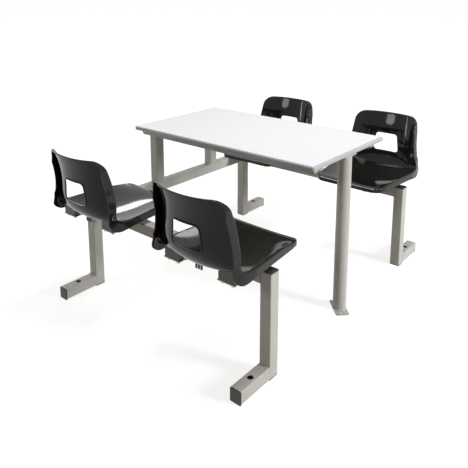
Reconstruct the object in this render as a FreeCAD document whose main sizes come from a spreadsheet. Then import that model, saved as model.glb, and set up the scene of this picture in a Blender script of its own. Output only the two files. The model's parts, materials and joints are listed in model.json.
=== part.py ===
"""Fixed canteen unit: one small table and four swivel seats on a single welded tube frame.

Millimetres. +Z is up, +X runs along the table's long edge and the origin is on the floor, at the
centre of the rectangle of the four seat legs. Seats 1 and 2 are on the near side (-Y), seats 3 and
4 on the far side (+Y), turned half a turn. Within one seat, u is across it, v is along it (the
sitter faces +v) and its swivel axis is at u = v = 0.
"""
import FreeCAD, Part
import Sketcher
import math
import os

from FreeCAD import Placement, Rotation, Vector

# name, value in mm or degrees, meaning
SIZES = [
    ("table_length", 1060, "table top, along X"),
    ("table_width", 612, "table top, along Y"),
    ("table_height", 750, "floor to the upper face of the top"),
    ("top_thickness", 20, "board of the top"),
    ("table_shift", 8, "centre of the top from the centre of the legs, along X"),
    ("top_corner", 12, "corner of the top in plan"),
    ("band_width", 10, "moulded edge band, in plan"),
    ("band_round", 7, "rounding of the band, above and below"),
    ("tube_side", 50, "square tube of legs, feet, posts and beams"),
    ("tube_wall", 2.5, "wall of that tube"),
    ("tube_corner", 4, "outer corner of that tube"),
    ("rail_side", 30, "square tube under the long edges of the top"),
    ("rail_wall", 2, "wall of the rail"),
    ("rail_corner", 3, "outer corner of the rail"),
    ("rail_start", 5, "end of the top to the end of the rail, on the post side"),
    ("rail_end", 25, "end of the top to the end of the rail, on the round leg's side"),
    ("rail_cap", 20, "length of the moulded end piece of a rail"),
    ("post_inset", 52, "end of the top to the centre of a post"),
    ("post_edge", 102, "long edge of the top to the centre of a post"),
    ("cross_top", 444, "upper face of the cross beam"),
    ("beam_top", 424, "upper face of the seat beams and the leg tubes"),
    ("beam_reach", 263, "long edge of the top to the centre of a seat beam and of the legs"),
    ("leg_inset", 5, "half the top's length to the centre of a leg, along X"),
    ("cap_thickness", 5, "visible flange of a plastic tube cap"),
    ("plug_depth", 15, "depth of a cap's plug inside its tube"),
    ("plug_gap", 0.2, "plug to tube wall"),
    ("foot_length", 170, "leg's outer face to the end of the foot"),
    ("foot_rise", 4, "floor to the underside of the foot tube"),
    ("foot_hole_reach", 85, "leg's outer face to the fixing hole"),
    ("foot_access", 25, "spanner hole in the foot's upper wall"),
    ("foot_bolt", 13, "bolt hole in the foot's lower wall"),
    ("round_inset", 33, "end of the top to the axis of the round leg"),
    ("round_diameter", 60, "round leg"),
    ("round_wall", 2.5, "wall of the round leg"),
    ("plate_thickness", 5, "welded plates of the round leg"),
    ("plate_width", 60, "floor plate, across"),
    ("plate_length", 122, "floor plate, along"),
    ("plate_turn", 45, "turn of the floor plate, from +X towards -Y"),
    ("plate_pitch", 88, "between the floor plate's two holes"),
    ("head_back", 34, "that axis to the centre of the plate between the leg and the top"),
    ("head_length", 128, "that plate, along X"),
    ("head_width", 96, "that plate, along Y"),
    ("head_pitch_x", 96, "between its screws along X"),
    ("head_pitch_y", 74, "between its screws along Y"),
    ("screw_hole", 5.5, "clearance hole for a top screw"),
    ("screw_size", 5, "top screw"),
    ("screw_head", 10, "head of a top screw"),
    ("screw_head_height", 3, "height of that head"),
    ("screw_bite", 14, "depth of the screw in the board"),
    ("rail_screw_inset", 90, "end of the top to the outer screws of a rail"),
    ("seat_inset", 200, "half the top's length to a swivel axis, along X"),
    ("housing_outer", 38, "bearing tube through the seat beam"),
    ("housing_inner", 31, "bore of the bearing tube"),
    ("bush_wall_gap", 0.05, "bush to bearing tube"),
    ("bush_length", 18, "sleeve of one bush"),
    ("bush_flange", 44, "flange of a bush"),
    ("bush_flange_height", 2, "thickness of the flange"),
    ("spindle_diameter", 25, "swivel spindle"),
    ("spindle_gap", 0.05, "radial running clearance"),
    ("washer_outer", 46, "washer under the lower bush"),
    ("washer_height", 2.5, "thickness of that washer"),
    ("washer_gap", 0.3, "lower bush to washer"),
    ("nut_flats", 36, "retaining nut, across flats"),
    ("nut_height", 10, "height of the nut"),
    ("stop_pin", 7, "stop pin on the beam, beside the carrier"),
    ("stop_reach", 64, "swivel axis to a stop pin"),
    ("stop_height", 8, "stop pin above the beam"),
    ("carrier_thickness", 5, "steel carrier plate"),
    ("hub_radius", 55, "round middle of the carrier"),
    ("arm_width", 36, "arms of the carrier"),
    ("foot_pad_u", 135, "centre of a rear pad of the carrier, across"),
    ("foot_pad_v", -161, "centre of a rear pad of the carrier, along"),
    ("foot_pad_width", 80, "rear pad, across"),
    ("foot_pad_depth", 24, "rear pad, along"),
    ("tongue_width", 88, "front part of the carrier, across"),
    ("tongue_reach", 92, "front part of the carrier, from the axis"),
    ("rear_block_width", 72, "rear fixing block, across"),
    ("rear_block_depth", 22, "rear fixing block, along"),
    ("front_block_u", 28, "centre of a front fixing block, across"),
    ("front_block_v", 75, "centre of a front fixing block, along"),
    ("front_block_side", 28, "front fixing block, both ways"),
    ("rib_pitch", 13, "between the three rear ribs"),
    ("rib_width", 6, "one rib"),
    ("rib_low", 432, "lower end of the ribs"),
    ("seat_bolt", 8, "bolt into a fixing block"),
    ("seat_bolt_hole", 9, "its hole in the carrier"),
    ("seat_bolt_head", 18, "its head"),
    ("seat_bolt_head_height", 9, "height of its head"),
    ("rear_bolt_pitch", 48, "between the two bolts of a rear pad"),
    ("seat_bolt_bite", 12, "depth of the bolt in the block"),
    ("shell_wall", 4.5, "wall of the moulded seat"),
    ("back_top", 750, "upper edge of the back"),
    ("back_lean", -262, "upper edge of the back along v, at its middle"),
    ("back_waist_v", -229, "middle of the back along v"),
    ("back_waist_z", 585, "height of that middle"),
    ("pan_low", 454, "lowest point of the pan's upper face"),
    ("pan_low_v", -80, "that point along v"),
    ("pan_crest", 465, "crest of the pan at its front"),
    ("pan_crest_v", 180, "that crest along v"),
    ("pan_front_v", 230, "front edge of the pan"),
    ("back_half_width", 187, "back, half its width at its middle"),
    ("back_top_half", 174, "back, half the width its sides aim at on the upper edge"),
    ("back_corner", 46, "upper corners of the back"),
    ("pan_rear_half", 214, "pan at the rear, half its width"),
    ("pan_front_half", 181, "pan at the front, half its width"),
    ("pan_corner", 56, "front corners of the pan"),
    ("dish_back", 30, "depth of the dish of the back over its reach"),
    ("curl_back", 10, "what the sides of the back curl forward beyond the dish, over its reach"),
    ("dish_pan", 14, "depth of the dish of the pan over its reach"),
    ("dish_front", 3, "depth of the dish at the front edge over its reach"),
    ("dish_reach", 150, "distance from the middle at which the dish depths are given"),
    ("rim_low_front", 447, "lower edge of the rim at the front"),
    ("rim_low_rear", 441, "lower edge of the rim at the rear"),
    ("rim_depth_back", 7, "rim of the back behind the middle of the back"),
    ("rim_top", 8, "depth of the rim at the upper edge of the back"),
    ("rim_side", 40, "depth of the rim down the sides of the back"),
    ("grip_top", 634, "hand hole, upper edge"),
    ("grip_low", 536, "hand hole, lower edge"),
    ("grip_top_half", 60, "hand hole, half its width at the top"),
    ("grip_low_half", 73, "hand hole, half its width at the bottom"),
    ("grip_corner", 16, "hand hole, corners"),
]

doc = FreeCAD.newDocument("canteen_unit")
sheet = doc.addObject("Spreadsheet::Sheet", "sizes")
for row, (alias, value, meaning) in enumerate(SIZES, start=1):
    sheet.set("A%d" % row, alias.replace("_", " "))
    sheet.set("B%d" % row, str(value))
    sheet.set("C%d" % row, meaning)
    sheet.setAlias("B%d" % row, alias)
doc.recompute()

sub_parts = []

# places that follow from the sizes, as formulas
POST_X = "({table_shift} - {table_length} / 2 + {post_inset})"
POST_Y = "({table_width} / 2 - {post_edge})"
BEAM_Y = "({table_width} / 2 + {beam_reach})"
LEG_X = "({table_length} / 2 - {leg_inset})"
ROUND_X = "({table_shift} + {table_length} / 2 - {round_inset})"
HEAD_X = "(%s - {head_back})" % ROUND_X
SEAT_X = "({table_length} / 2 - {seat_inset})"
SCREW_X = "({table_length} / 2 - {rail_screw_inset})"


def size(alias):
    """The number in the sheet, for shapes that are worked out in code."""
    return float(sheet.get(alias))


def bind(thing, prop, formula):
    """Ties a property to a formula in which each size is written as its alias in braces."""
    thing.setExpression(prop, formula.replace("{", "sizes.").replace("}", ""))


def place(thing, x="0", y="0", z="0", turn=0.0, about=Vector(0, 0, 1)):
    """Puts an object at a place given by formulas, turned about an axis through its own origin."""
    thing.Placement = Placement(Vector(0, 0, 0), Rotation(about, turn))
    for axis, formula in (("x", x), ("y", y), ("z", z)):
        bind(thing, "Placement.Base." + axis, formula)
    return thing


def keep(thing, label):
    """Names a finished sub-part and lists it for writing."""
    thing.Label = label
    sub_parts.append(thing)
    return thing


def block(wide, deep, high, x="0", y="0", z="0"):
    """A box centred on x and y, standing on z."""
    box = doc.addObject("Part::Box", "block")
    bind(box, "Length", wide)
    bind(box, "Width", deep)
    bind(box, "Height", high)
    return place(box, "%s - (%s) / 2" % (x, wide), "%s - (%s) / 2" % (y, deep), z)


def rod(diameter, high, x="0", y="0", z="0"):
    """An upright cylinder standing on z."""
    cylinder = doc.addObject("Part::Cylinder", "rod")
    bind(cylinder, "Radius", "(%s) / 2" % diameter)
    bind(cylinder, "Height", high)
    return place(cylinder, x, y, z)


def hexagon(flats, high, x="0", y="0", z="0"):
    """An upright six-sided bar standing on z."""
    prism = doc.addObject("Part::Prism", "hexagon")
    prism.Polygon = 6
    bind(prism, "Circumradius", "(%s) / 2 / cos(30 deg)" % flats)
    bind(prism, "Height", high)
    return place(prism, x, y, z)


def cut(base, tool):
    """The base less the tool."""
    result = doc.addObject("Part::Cut", "cut")
    result.Base = base
    result.Tool = tool
    return result


def joined(things):
    """One object from several: fused where they touch, side by side where they don't."""
    if len(things) == 1:
        return things[0]
    result = doc.addObject("Part::MultiFuse", "joined")
    result.Shapes = things
    return result


def origin_plane(body, role):
    """One of the body's own origin planes, found by its role."""
    return next(plane for plane in body.Origin.OriginFeatures if plane.Role == role)


def sketch_rectangle(sketch, name, wide, deep):
    """A rectangle about the sketch's origin, its two sides bound to formulas."""
    first = sketch.GeometryCount
    corners = [Vector(-10, -5, 0), Vector(10, -5, 0), Vector(10, 5, 0), Vector(-10, 5, 0)]
    for index in range(4):
        sketch.addGeometry(Part.LineSegment(corners[index], corners[(index + 1) % 4]), False)
    for index in range(4):
        following = first + (index + 1) % 4
        sketch.addConstraint(Sketcher.Constraint("Coincident", first + index, 2, following, 1))
    for index, direction in enumerate(("Horizontal", "Vertical", "Horizontal", "Vertical")):
        sketch.addConstraint(Sketcher.Constraint(direction, first + index))
    sketch.addConstraint(Sketcher.Constraint("Symmetric", first, 1, first + 2, 1, -1, 1))
    for suffix, side, start_value, formula in (("wide", 0, 20, wide), ("deep", 1, 10, deep)):
        kind = "DistanceX" if side == 0 else "DistanceY"
        added = sketch.addConstraint(
            Sketcher.Constraint(kind, first + side, 1, first + side, 2, start_value))
        sketch.renameConstraint(added, name + suffix)
        bind(sketch, "Constraints." + name + suffix, formula)


def profile_body(rectangles, length, corner):
    """A body padded upwards from nested rectangles, its outer upright edges rounded."""
    body = doc.addObject("PartDesign::Body", "body")
    sketch = body.newObject("Sketcher::SketchObject", "outline")
    sketch.AttachmentSupport = [(origin_plane(body, "XY_Plane"), "")]
    sketch.MapMode = "FlatFace"
    for name, (wide, deep) in rectangles.items():
        sketch_rectangle(sketch, name, wide, deep)
    doc.recompute()
    pad = body.newObject("PartDesign::Pad", "pad")
    pad.Profile = sketch
    bind(pad, "Length", length)
    doc.recompute()
    box = pad.Shape.BoundBox
    outer = []
    for number, edge in enumerate(pad.Shape.Edges, start=1):
        middle = edge.BoundBox.Center
        upright = edge.BoundBox.ZLength > 0.9 * box.ZLength
        at_corner = abs(middle.x) > 0.49 * box.XLength and abs(middle.y) > 0.49 * box.YLength
        if upright and at_corner:
            outer.append("Edge%d" % number)
    rounded = body.newObject("PartDesign::Fillet", "rounded")
    rounded.Base = (pad, outer)
    bind(rounded, "Radius", corner)
    body.Tip = rounded
    return body


def square_tube(length, kind="tube"):
    """A square tube standing on the origin: kind tube for the frame, rail for under the top."""
    outer = "{%s_side}" % kind
    inner = "{%s_side} - 2 * {%s_wall}" % (kind, kind)
    rectangles = {"outer": (outer, outer), "inner": (inner, inner)}
    return profile_body(rectangles, length, "{%s_corner}" % kind)


def tube_cap(outer_high, plug_side):
    """A plastic cap for a square tube, standing on its flange, with the plug pointing up."""
    flange = profile_body({"flange": ("{tube_side}", outer_high)}, "{cap_thickness}",
                          "{tube_corner}")
    plug = block(plug_side, plug_side, "{plug_depth}", z="{cap_thickness}")
    return flange, plug


PLUG_SIDE = "({tube_side} - 2 * {tube_wall} - 2 * {plug_gap})"


def make_table_top():
    """The laminated board, less the pilot holes of its screws."""
    board = profile_body(
        {"board": ("{table_length} - 2 * {band_width}", "{table_width} - 2 * {band_width}")},
        "{top_thickness}", "max({top_corner} - {band_width}, 1)")
    place(board, "{table_shift}", "0", "{table_height} - {top_thickness}")
    pilots = [rod("{screw_size}", "{screw_bite}", x, y, "{table_height} - {top_thickness}")
              for x, y in rail_screw_places() + head_screw_places()]
    keep(cut(board, joined(pilots)), "table_top")


def make_edge_band():
    """The band around the board, rounded above and below."""
    outer = profile_body({"outer": ("{table_length}", "{table_width}")}, "{top_thickness}",
                         "{top_corner}")
    doc.recompute()
    block_form = outer.Tip
    flat = ["Edge%d" % number for number, edge in enumerate(block_form.Shape.Edges, start=1)
            if edge.BoundBox.ZLength < 0.001]
    soft = outer.newObject("PartDesign::Fillet", "soft")
    soft.Base = (block_form, flat)
    bind(soft, "Radius", "{band_round}")
    outer.Tip = soft
    inner = profile_body(
        {"inner": ("{table_length} - 2 * {band_width}", "{table_width} - 2 * {band_width}")},
        "{top_thickness}", "max({top_corner} - {band_width}, 1)")
    band = cut(outer, inner)
    keep(place(band, "{table_shift}", "0", "{table_height} - {top_thickness}"), "table_edge_band")


RAIL_LOW = "({table_height} - {top_thickness} - {rail_side})"
RAIL_Y = "(%s + {tube_side} / 2 + {rail_side} / 2)" % POST_Y
RAIL_START = "({table_shift} - {table_length} / 2 + {rail_start})"
RAIL_END = "({table_shift} + {table_length} / 2 - {rail_end})"
SIDES = {"near": "-1", "far": "1"}


def rail_screw_places():
    """Three screws along each rail."""
    return [("{table_shift} + %d * %s" % (step, SCREW_X), "%s * %s" % (sign, RAIL_Y))
            for sign in SIDES.values() for step in (-1, 0, 1)]


def head_screw_places():
    """Four screws in the round leg's head plate."""
    return [("%s + %s * {head_pitch_x} / 2" % (HEAD_X, right), "%s * {head_pitch_y} / 2" % far)
            for right in ("-1", "1") for far in ("-1", "1")]


def make_rails():
    """Two tubes under the long edges of the top, with a moulded piece in each end."""
    length = "%s - %s - 2 * {rail_cap}" % (RAIL_END, RAIL_START)
    caps = []
    for side, sign in SIDES.items():
        y = "%s * %s" % (sign, RAIL_Y)
        tube = place(square_tube(length, "rail"), "%s + {rail_cap}" % RAIL_START, y,
                     "%s + {rail_side} / 2" % RAIL_LOW, 90, Vector(0, 1, 0))
        holes = [rod("{screw_hole}", "{rail_side} + 2", x, hole_y, "%s - 1" % RAIL_LOW)
                 for x, hole_y in rail_screw_places() if hole_y == y]
        keep(cut(tube, joined(holes)), "sub_rail_" + side)
        for end, x in (("-1", RAIL_START), ("1", RAIL_END)):
            caps.append(rail_end_piece(x, end, y))
    keep(joined(caps), "sub_rail_end_caps")


def rail_end_piece(x, end, y):
    """A rail's end piece: a block whose outer lower corner is a quarter round, with a plug."""
    side = "{rail_side}"
    middle = "%s - %s * {rail_cap} / 2" % (x, end)
    body = block("{rail_cap}", side, side, middle, y, RAIL_LOW)
    corner = block("{rail_cap}", "%s + 2" % side, "{rail_cap}", middle, y, RAIL_LOW)
    round_bar = doc.addObject("Part::Cylinder", "round_bar")
    bind(round_bar, "Radius", "{rail_cap}")
    bind(round_bar, "Height", "%s + 4" % side)
    place(round_bar, "%s - %s * {rail_cap}" % (x, end), "%s + %s / 2 + 2" % (y, side),
          "%s + {rail_cap}" % RAIL_LOW, 90, Vector(1, 0, 0))
    plug_side = "({rail_side} - 2 * {rail_wall} - 2 * {plug_gap})"
    plug = block("{plug_depth}", plug_side, plug_side,
                 "%s - %s * ({rail_cap} + {plug_depth} / 2)" % (x, end), y,
                 "%s + {rail_wall} + {plug_gap}" % RAIL_LOW)
    return joined([cut(body, cut(corner, round_bar)), plug])


def make_posts():
    """Two posts from the cross beam up to the top, welded against the inner sides of the rails."""
    for side, sign in SIDES.items():
        post = square_tube("{table_height} - {top_thickness} - {cross_top}")
        keep(place(post, POST_X, "%s * %s" % (sign, POST_Y), "{cross_top}"), "post_" + side)


def make_cross_beam():
    """The tube between the two seat beams that carries the posts."""
    beam = square_tube("2 * %s - {tube_side}" % BEAM_Y)
    keep(place(beam, POST_X, "%s - {tube_side} / 2" % BEAM_Y, "{cross_top} - {tube_side} / 2",
               90, Vector(1, 0, 0)), "cross_beam")


def make_seat_beams():
    """A tube between each pair of legs, pierced for two bearing tubes."""
    for side, sign in SIDES.items():
        y = "%s * %s" % (sign, BEAM_Y)
        tube = place(square_tube("2 * %s - {tube_side}" % LEG_X), "{tube_side} / 2 - " + LEG_X, y,
                     "{beam_top} - {tube_side} / 2", 90, Vector(0, 1, 0))
        holes = [rod("{housing_outer}", "{tube_side} + 2", x, y, "{beam_top} - {tube_side} - 1")
                 for x in ("-" + SEAT_X, SEAT_X)]
        keep(cut(tube, joined(holes)), "seat_beam_" + side)


# number: sign of x, sign of y
LEGS = {1: ("-1", "-1"), 2: ("1", "-1"), 3: ("-1", "1"), 4: ("1", "1")}


def make_legs_and_feet():
    """Four legs, each with a foot that points away from the table, and their plastic caps."""
    top_caps = []
    base_caps = []
    end_caps = []
    for number, (right, far) in LEGS.items():
        x = "%s * %s" % (right, LEG_X)
        y = "%s * %s" % (far, BEAM_Y)
        leg = square_tube("{beam_top} - {cap_thickness}")
        keep(place(leg, x, y, "{cap_thickness}"), "leg_%d" % number)
        base_caps.append(place(joined(tube_cap("{tube_side}", PLUG_SIDE)), x, y, "0"))
        top_caps.append(place(joined(tube_cap("{tube_side}", PLUG_SIDE)), x, y,
                              "{beam_top} + {cap_thickness}", 180, Vector(1, 0, 0)))
        keep(foot(x, far), "foot_%d" % number)
        end_caps.append(foot_end_cap(x, far))
    keep(joined(top_caps), "leg_top_caps")
    keep(joined(base_caps), "leg_base_caps")
    keep(joined(end_caps), "foot_end_caps")


LEG_FACE = "(%s + {tube_side} / 2)" % BEAM_Y


def foot(x, far):
    """A short tube along the floor, with a bolt hole below and a spanner hole above it."""
    tube = square_tube("{foot_length} - {cap_thickness}")
    tilt = 90 if far == "-1" else -90
    place(tube, x, "%s * %s" % (far, LEG_FACE), "{foot_rise} + {tube_side} / 2", tilt,
          Vector(1, 0, 0))
    hole_y = "%s * (%s + {foot_hole_reach})" % (far, LEG_FACE)
    access = rod("{foot_access}", "{tube_side} / 2 + 1", x, hole_y, "{foot_rise} + {tube_side} / 2")
    bolt = rod("{foot_bolt}", "{tube_side} / 2 + 1", x, hole_y, "{foot_rise} - 1")
    return cut(tube, joined([access, bolt]))


def foot_end_cap(x, far):
    """The cap at the end of a foot, drawn down to the floor."""
    end = "%s * (%s + {foot_length} - {cap_thickness} / 2)" % (far, LEG_FACE)
    flange = block("{tube_side}", "{cap_thickness}", "{tube_side} + {foot_rise}", x, end)
    reach = "%s * (%s + {foot_length} - {cap_thickness} - {plug_depth} / 2)" % (far, LEG_FACE)
    plug = block(PLUG_SIDE, "{plug_depth}", PLUG_SIDE, x, reach,
                 "{foot_rise} + {tube_wall} + {plug_gap}")
    return joined([flange, plug])


def make_round_leg():
    """The round leg at the other end of the top, with its floor plate and head plate."""
    high = "{table_height} - {top_thickness} - 2 * {plate_thickness}"
    outer = rod("{round_diameter}", high)
    bore = rod("{round_diameter} - 2 * {round_wall}", high)
    keep(place(cut(outer, bore), ROUND_X, "0", "{plate_thickness}"), "round_leg")

    plate = profile_body({"plate": ("{plate_length}", "{plate_width}")}, "{plate_thickness}",
                         "{tube_corner}")
    holes = [rod("{foot_bolt}", "{plate_thickness} + 2", "%s * {plate_pitch} / 2" % sign, "0", "-1")
             for sign in SIDES.values()]
    foot_plate = cut(plate, joined(holes))
    place(foot_plate, ROUND_X, "0", "0", size("plate_turn"), Vector(0, 0, -1))
    bind(foot_plate, "Placement.Rotation.Angle", "{plate_turn} * 1 deg")
    keep(foot_plate, "round_leg_foot_plate")

    head = profile_body({"head": ("{head_length}", "{head_width}")}, "{plate_thickness}",
                        "{tube_corner}")
    place(head, HEAD_X, "0", "{table_height} - {top_thickness} - {plate_thickness}")
    head_holes = [rod("{screw_hole}", "{plate_thickness} + 2", x, y,
                      "{table_height} - {top_thickness} - {plate_thickness} - 1")
                  for x, y in head_screw_places()]
    keep(cut(head, joined(head_holes)), "round_leg_head_plate")


def make_table_screws():
    """The screws that hold the top: three up through each rail and four through the head plate."""
    screws = []
    underside = "({table_height} - {top_thickness})"
    for places, grip in ((rail_screw_places(), "{rail_side}"),
                         (head_screw_places(), "{plate_thickness}")):
        for x, y in places:
            head = rod("{screw_head}", "{screw_head_height}", x, y,
                       "%s - %s - {screw_head_height}" % (underside, grip))
            shank = rod("{screw_size}", "%s + {screw_bite}" % grip, x, y,
                        "%s - %s" % (underside, grip))
            screws.append(joined([head, shank]))
    keep(joined(screws), "table_screws")


# number: x of the axis, y of the axis, half turns
SEATS = {1: ("-" + SEAT_X, "-" + BEAM_Y, 0), 2: (SEAT_X, "-" + BEAM_Y, 0),
         3: ("-" + SEAT_X, BEAM_Y, 180), 4: (SEAT_X, BEAM_Y, 180)}
BEAM_LOW = "({beam_top} - {tube_side})"
CARRIER_LOW = "({beam_top} + {bush_flange_height})"
CARRIER_TOP = "({beam_top} + {bush_flange_height} + {carrier_thickness})"
WASHER_TOP = "({beam_top} - {tube_side} - {bush_flange_height} - {washer_gap})"
NUT_TOP = "(%s - {washer_height})" % WASHER_TOP


def make_swivel(number):
    """The bearing tube through the beam, its two flanged bushes, the spindle and what holds it."""
    x, y, turn = SEATS[number]
    housing = cut(rod("{housing_outer}", "{tube_side}", z=BEAM_LOW),
                  rod("{housing_inner}", "{tube_side}", z=BEAM_LOW))
    keep(place(housing, x, y), "swivel_housing_%d" % number)

    sleeve = "({housing_inner} - 2 * {bush_wall_gap})"
    bore = "({spindle_diameter} + 2 * {spindle_gap})"
    upper = joined([rod("{bush_flange}", "{bush_flange_height}", z="{beam_top}"),
                    rod(sleeve, "{bush_length}", z="{beam_top} - {bush_length}")])
    lower = joined([rod("{bush_flange}", "{bush_flange_height}",
                        z="%s - {bush_flange_height}" % BEAM_LOW),
                    rod(sleeve, "{bush_length}", z=BEAM_LOW)])
    hole = rod(bore, "2 * {tube_side}", z="%s - {tube_side} / 2" % BEAM_LOW)
    keep(place(cut(joined([upper, lower]), hole), x, y), "swivel_bushes_%d" % number)

    spindle = rod("{spindle_diameter}", "%s - %s + {nut_height}" % (CARRIER_TOP, NUT_TOP), x, y,
                  "%s - {nut_height}" % NUT_TOP)
    keep(spindle, "swivel_spindle_%d" % number)

    washer = rod("{washer_outer}", "{washer_height}", z=NUT_TOP)
    nut = hexagon("{nut_flats}", "{nut_height}", z="%s - {nut_height}" % NUT_TOP)
    through = rod("{spindle_diameter}", "{nut_height} + {washer_height}",
                  z="%s - {nut_height}" % NUT_TOP)
    keep(place(cut(joined([washer, nut]), through), x, y, "0", turn), "swivel_nut_%d" % number)


def make_stop_pins():
    """Two pins on the beam beside each seat's axis, which meet the carrier's arms at full turn."""
    pins = []
    for x, y, turn in SEATS.values():
        for side in ("-1", "1"):
            pins.append(rod("{stop_pin}", "{stop_height}", "%s + %s * {stop_reach}" % (x, side), y,
                            "{beam_top}"))
    keep(joined(pins), "swivel_stop_pins")


def carrier_arm(sign):
    """An arm of the carrier from its middle to a rear pad."""
    along = math.hypot(size("foot_pad_u"), size("foot_pad_v"))
    lean = math.degrees(math.atan2(size("foot_pad_u"), -size("foot_pad_v")))
    arm = doc.addObject("Part::Box", "arm")
    bind(arm, "Length", "{arm_width}")
    bind(arm, "Height", "{carrier_thickness}")
    bind(arm, "Width", "sqrt({foot_pad_u} * {foot_pad_u} + {foot_pad_v} * {foot_pad_v})")
    turn = Rotation(Vector(0, 0, 1), sign * lean)
    corner = turn.multVec(Vector(-size("arm_width") / 2, -along, 0))
    arm.Placement = Placement(corner, turn)
    bind(arm, "Placement.Base.z", CARRIER_LOW)
    return arm


REAR_BOLTS = [("%s * {foot_pad_u} %s {rear_bolt_pitch} / 2" % (sign, side), "{foot_pad_v}")
              for sign in ("-1", "1") for side in ("-", "+")]
FRONT_BOLTS = [("%s * {front_block_u}" % sign, "{front_block_v}") for sign in ("-1", "1")]


def make_carrier(number):
    """The steel plate welded to the spindle, which reaches under the pan to its fixing blocks."""
    x, y, turn = SEATS[number]
    thick = "{carrier_thickness}"
    pieces = [rod("2 * {hub_radius}", thick, z=CARRIER_LOW),
              block("{tongue_width}", "{tongue_reach}", thick, "0", "{tongue_reach} / 2",
                    CARRIER_LOW)]
    for sign in (-1, 1):
        pieces.append(carrier_arm(sign))
        pieces.append(block("{foot_pad_width}", "{foot_pad_depth}", thick,
                            "%d * {foot_pad_u}" % sign, "{foot_pad_v}", CARRIER_LOW))
    holes = [rod("{spindle_diameter}", "%s + 2" % thick, z="%s - 1" % CARRIER_LOW)]
    for u, v in REAR_BOLTS + FRONT_BOLTS:
        holes.append(rod("{seat_bolt_hole}", "%s + 2" % thick, u, v, "%s - 1" % CARRIER_LOW))
    keep(place(cut(joined(pieces), joined(holes)), x, y, "0", turn), "seat_carrier_%d" % number)


def make_seat_bolts(number):
    """Six bolts up through the carrier into the fixing blocks."""
    x, y, turn = SEATS[number]
    bolts = []
    for u, v in REAR_BOLTS + FRONT_BOLTS:
        head = rod("{seat_bolt_head}", "{seat_bolt_head_height}", u, v,
                   "%s - {seat_bolt_head_height}" % CARRIER_LOW)
        shank = rod("{seat_bolt}", "{carrier_thickness} + {seat_bolt_bite}", u, v, CARRIER_LOW)
        bolts.append(joined([head, shank]))
    keep(place(joined(bolts), x, y, "0", turn), "seat_bolts_%d" % number)


# planes well clear of a seat, where the shapes that trim it end: two along v, two along z
BEHIND = -600
AHEAD = 400
UNDER = 250
OVER = 900


def seat_profile():
    """Rows (v, z, dish, curl, rim) down the middle of the sitter's side."""
    top = size("back_top")
    lean = size("back_lean")
    waist_v = size("back_waist_v")
    waist_z = size("back_waist_z")
    low = size("pan_low")
    low_v = size("pan_low_v")
    crest = size("pan_crest")
    crest_v = size("pan_crest_v")
    front_v = size("pan_front_v")
    back = size("dish_back")
    curl = size("curl_back")
    pan = size("dish_pan")
    front = size("dish_front")
    rim_top = size("rim_top")
    rim_side = size("rim_side")
    rim_pan = 1.5 * rim_side
    over = 40
    upper = (top - waist_z) / 2
    return [
        (lean - 0.28 * over, top + over, back, curl, rim_top),
        (lean, top, back, curl, rim_top),
        (waist_v + 0.28 * (lean - waist_v), waist_z + upper, back, curl, rim_side),
        (waist_v, waist_z, back, curl, rim_side),
        (waist_v + 3, waist_z - 0.37 * (waist_z - low), 0.75 * back + 0.25 * pan, curl, rim_side),
        (waist_v + 16, low + 0.34 * (waist_z - low), 0.4 * back + 0.6 * pan, 0.8 * curl, rim_side),
        (waist_v + 42, low + 0.12 * (waist_z - low), pan, 0.3 * curl, rim_pan),
        (waist_v + 90, low + 3, pan, 0, rim_pan),
        (low_v, low, pan, 0, rim_pan),
        ((low_v + crest_v) / 2, low + 3, pan, 0, rim_pan),
        (0.3 * low_v + 0.7 * crest_v + 20, 0.35 * low + 0.65 * crest, 0.6 * pan + 0.4 * front, 0,
         rim_side),
        (crest_v, crest, front, 0, rim_side),
        (0.4 * crest_v + 0.6 * front_v, crest - 3, front, 0, rim_side),
        (front_v, crest - 13, front, 0, rim_side),
        (front_v + over, crest - 13 - over, front, 0, rim_side),
    ]


def normals(points):
    """Unit vectors square to a run of points, to the left of its direction."""
    result = []
    for index in range(len(points)):
        before = points[max(index - 1, 0)]
        after = points[min(index + 1, len(points) - 1)]
        run = (after[0] - before[0], after[1] - before[1])
        length = math.hypot(run[0], run[1])
        result.append((-run[1] / length, run[0] / length))
    return result


def seat_side(inset, rim_share=0):
    """A solid of all that is behind and below the sitter's side, less a skin.

    The skin is as thick as the inset, and a share of the rim's depth in each row is added to it.
    """
    rows = seat_profile()
    middle = [row[:2] for row in rows]
    square = normals(middle)
    reach = size("dish_reach")
    wires = []
    for u in (-240, -205, -170, -125, -65, 0, 65, 125, 170, 205, 240):
        points = []
        share = (u / reach) ** 2
        for (v, z, dish, curl, rim), (left_v, left_z) in zip(rows, square):
            forward = dish * share + curl * share ** 2 - inset - rim_share * rim
            points.append(Vector(u, v + forward * left_v, z + forward * left_z))
        curve = Part.BSplineCurve()
        curve.interpolate(points)
        first = points[0]
        last = points[-1]
        corners = [last, Vector(u, last.y, UNDER), Vector(u, BEHIND, UNDER),
                   Vector(u, BEHIND, first.z), first]
        edges = [curve.toShape()]
        for start, end in zip(corners, corners[1:]):
            edges.append(Part.LineSegment(start, end).toShape())
        wires.append(Part.Wire(edges))
    return Part.makeLoft(wires, True, False)


def rounded_prism(points, along, rounded):
    """A prism on a polygon, with some of its corners rounded: {corner index: radius}."""
    prism = Part.Face(Part.makePolygon(points + points[:1])).extrude(along)
    for index, radius in rounded.items():
        corner = points[index]
        for edge in prism.Edges:
            ends = [vertex.Point for vertex in edge.Vertexes]
            if any(end.isEqual(corner, 0.01) for end in ends) and \
                    any(end.isEqual(corner + along, 0.01) for end in ends):
                prism = prism.makeFillet(radius, [edge])
                break
    return prism


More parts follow.
